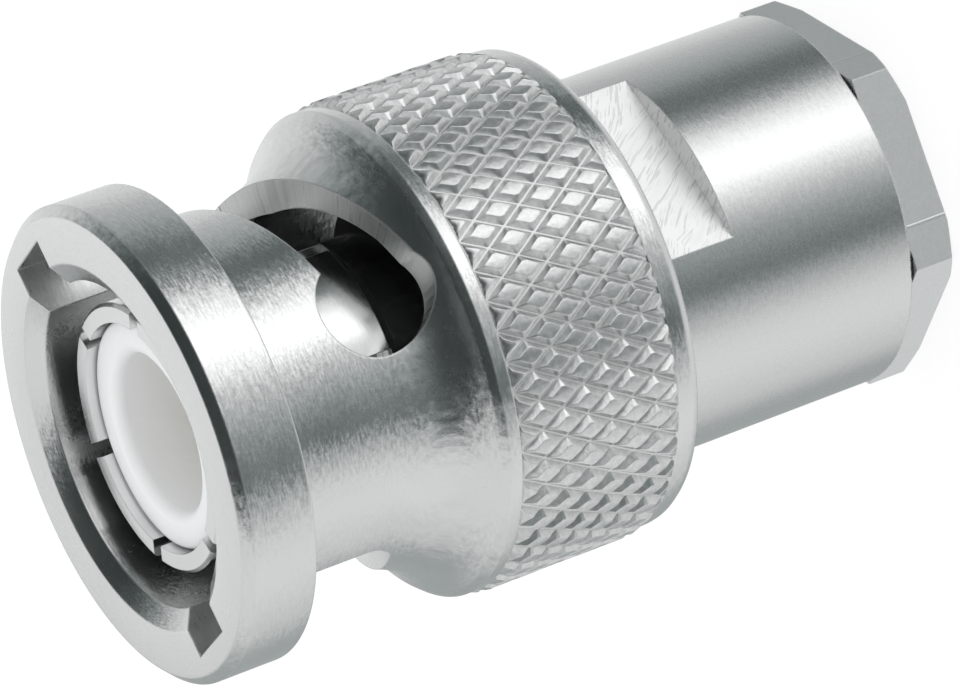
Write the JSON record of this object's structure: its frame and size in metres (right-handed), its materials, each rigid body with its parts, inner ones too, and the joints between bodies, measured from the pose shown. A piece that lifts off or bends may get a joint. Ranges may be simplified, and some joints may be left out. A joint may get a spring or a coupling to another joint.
{
  "type": "bnc connector",
  "caption": "Straight bayonet coaxial cable plug: knurled locking nut with curved slots, slotted contact sleeve, white insulator cup, round body with flats and a hexagonal clamp nut.",
  "frame": {"origin": "centre of the clamp nut's rear face, on the connector's axis", "axes": "+Z along the connector's axis from the cable end towards the mating face; +X through the middle of a bayonet entry slot"},
  "size_m": [0.015, 0.015, 0.025],
  "materials": {
    "nickel_nut": "satin bright nickel plate on turned brass, diamond knurl",
    "nickel_body": "satin bright nickel plate on turned brass",
    "nickel_clamp": "dull nickel plate on milled brass",
    "nickel_contact": "bright nickel plate on spring brass",
    "nickel_washer": "plain nickel plate",
    "spring_bronze": "spring temper bronze, lightly plated",
    "plain_brass": "turned brass",
    "gold_pin": "gold flash on brass",
    "ptfe": "white fluoropolymer, waxy",
    "silicone": "moulded black silicone rubber",
    "neoprene": "moulded black rubber"
  },
  "bodies": {
    "plug_body": {"body": "nickel_body", "outer_contact": "nickel_contact", "front_gasket": "silicone", "front_insulator": "ptfe", "center_contact": "gold_pin", "rear_insulator": "ptfe", "braid_clamp": "plain_brass", "cable_gasket": "neoprene", "wave_washer_front": "spring_bronze", "wave_washer_rear": "spring_bronze"},
    "pull_stage": {"thrust_washer": "nickel_washer"},
    "coupling": {"coupling_nut": "nickel_nut", "retaining_ring": "spring_bronze"},
    "clamp_travel": {"slip_washer": "nickel_washer"},
    "clamp": {"clamp_nut": "nickel_clamp"}
  },
  "joints": [
    {"name": "coupling_pull", "type": "slide", "parent": "plug_body", "child": "pull_stage", "axis": [0, 0, 1], "range_m": [0, 0.0006], "stiffness_N_per_m": 1500, "springref_m": -0.0005, "deforming": ["wave_washer_front", "wave_washer_rear"]},
    {"name": "coupling_turn", "type": "hinge", "parent": "pull_stage", "child": "coupling", "pos_m": [0, 0, 0.0115], "axis": [0, 0, 1], "continuous": true},
    {"name": "clamp_nut_travel", "type": "slide", "parent": "plug_body", "child": "clamp_travel", "axis": [0, 0, 1], "range_m": [-0.0015, 0]},
    {"name": "clamp_nut_turn", "type": "hinge", "parent": "clamp_travel", "child": "clamp", "pos_m": [0, 0, 0.0015], "axis": [0, 0, 1], "range_deg": [-720, 0]}
  ],
  "couplings": [
    {"joint": "clamp_nut_turn", "follows": "clamp_nut_travel", "rad_per_m": 8377.6}
  ]
}
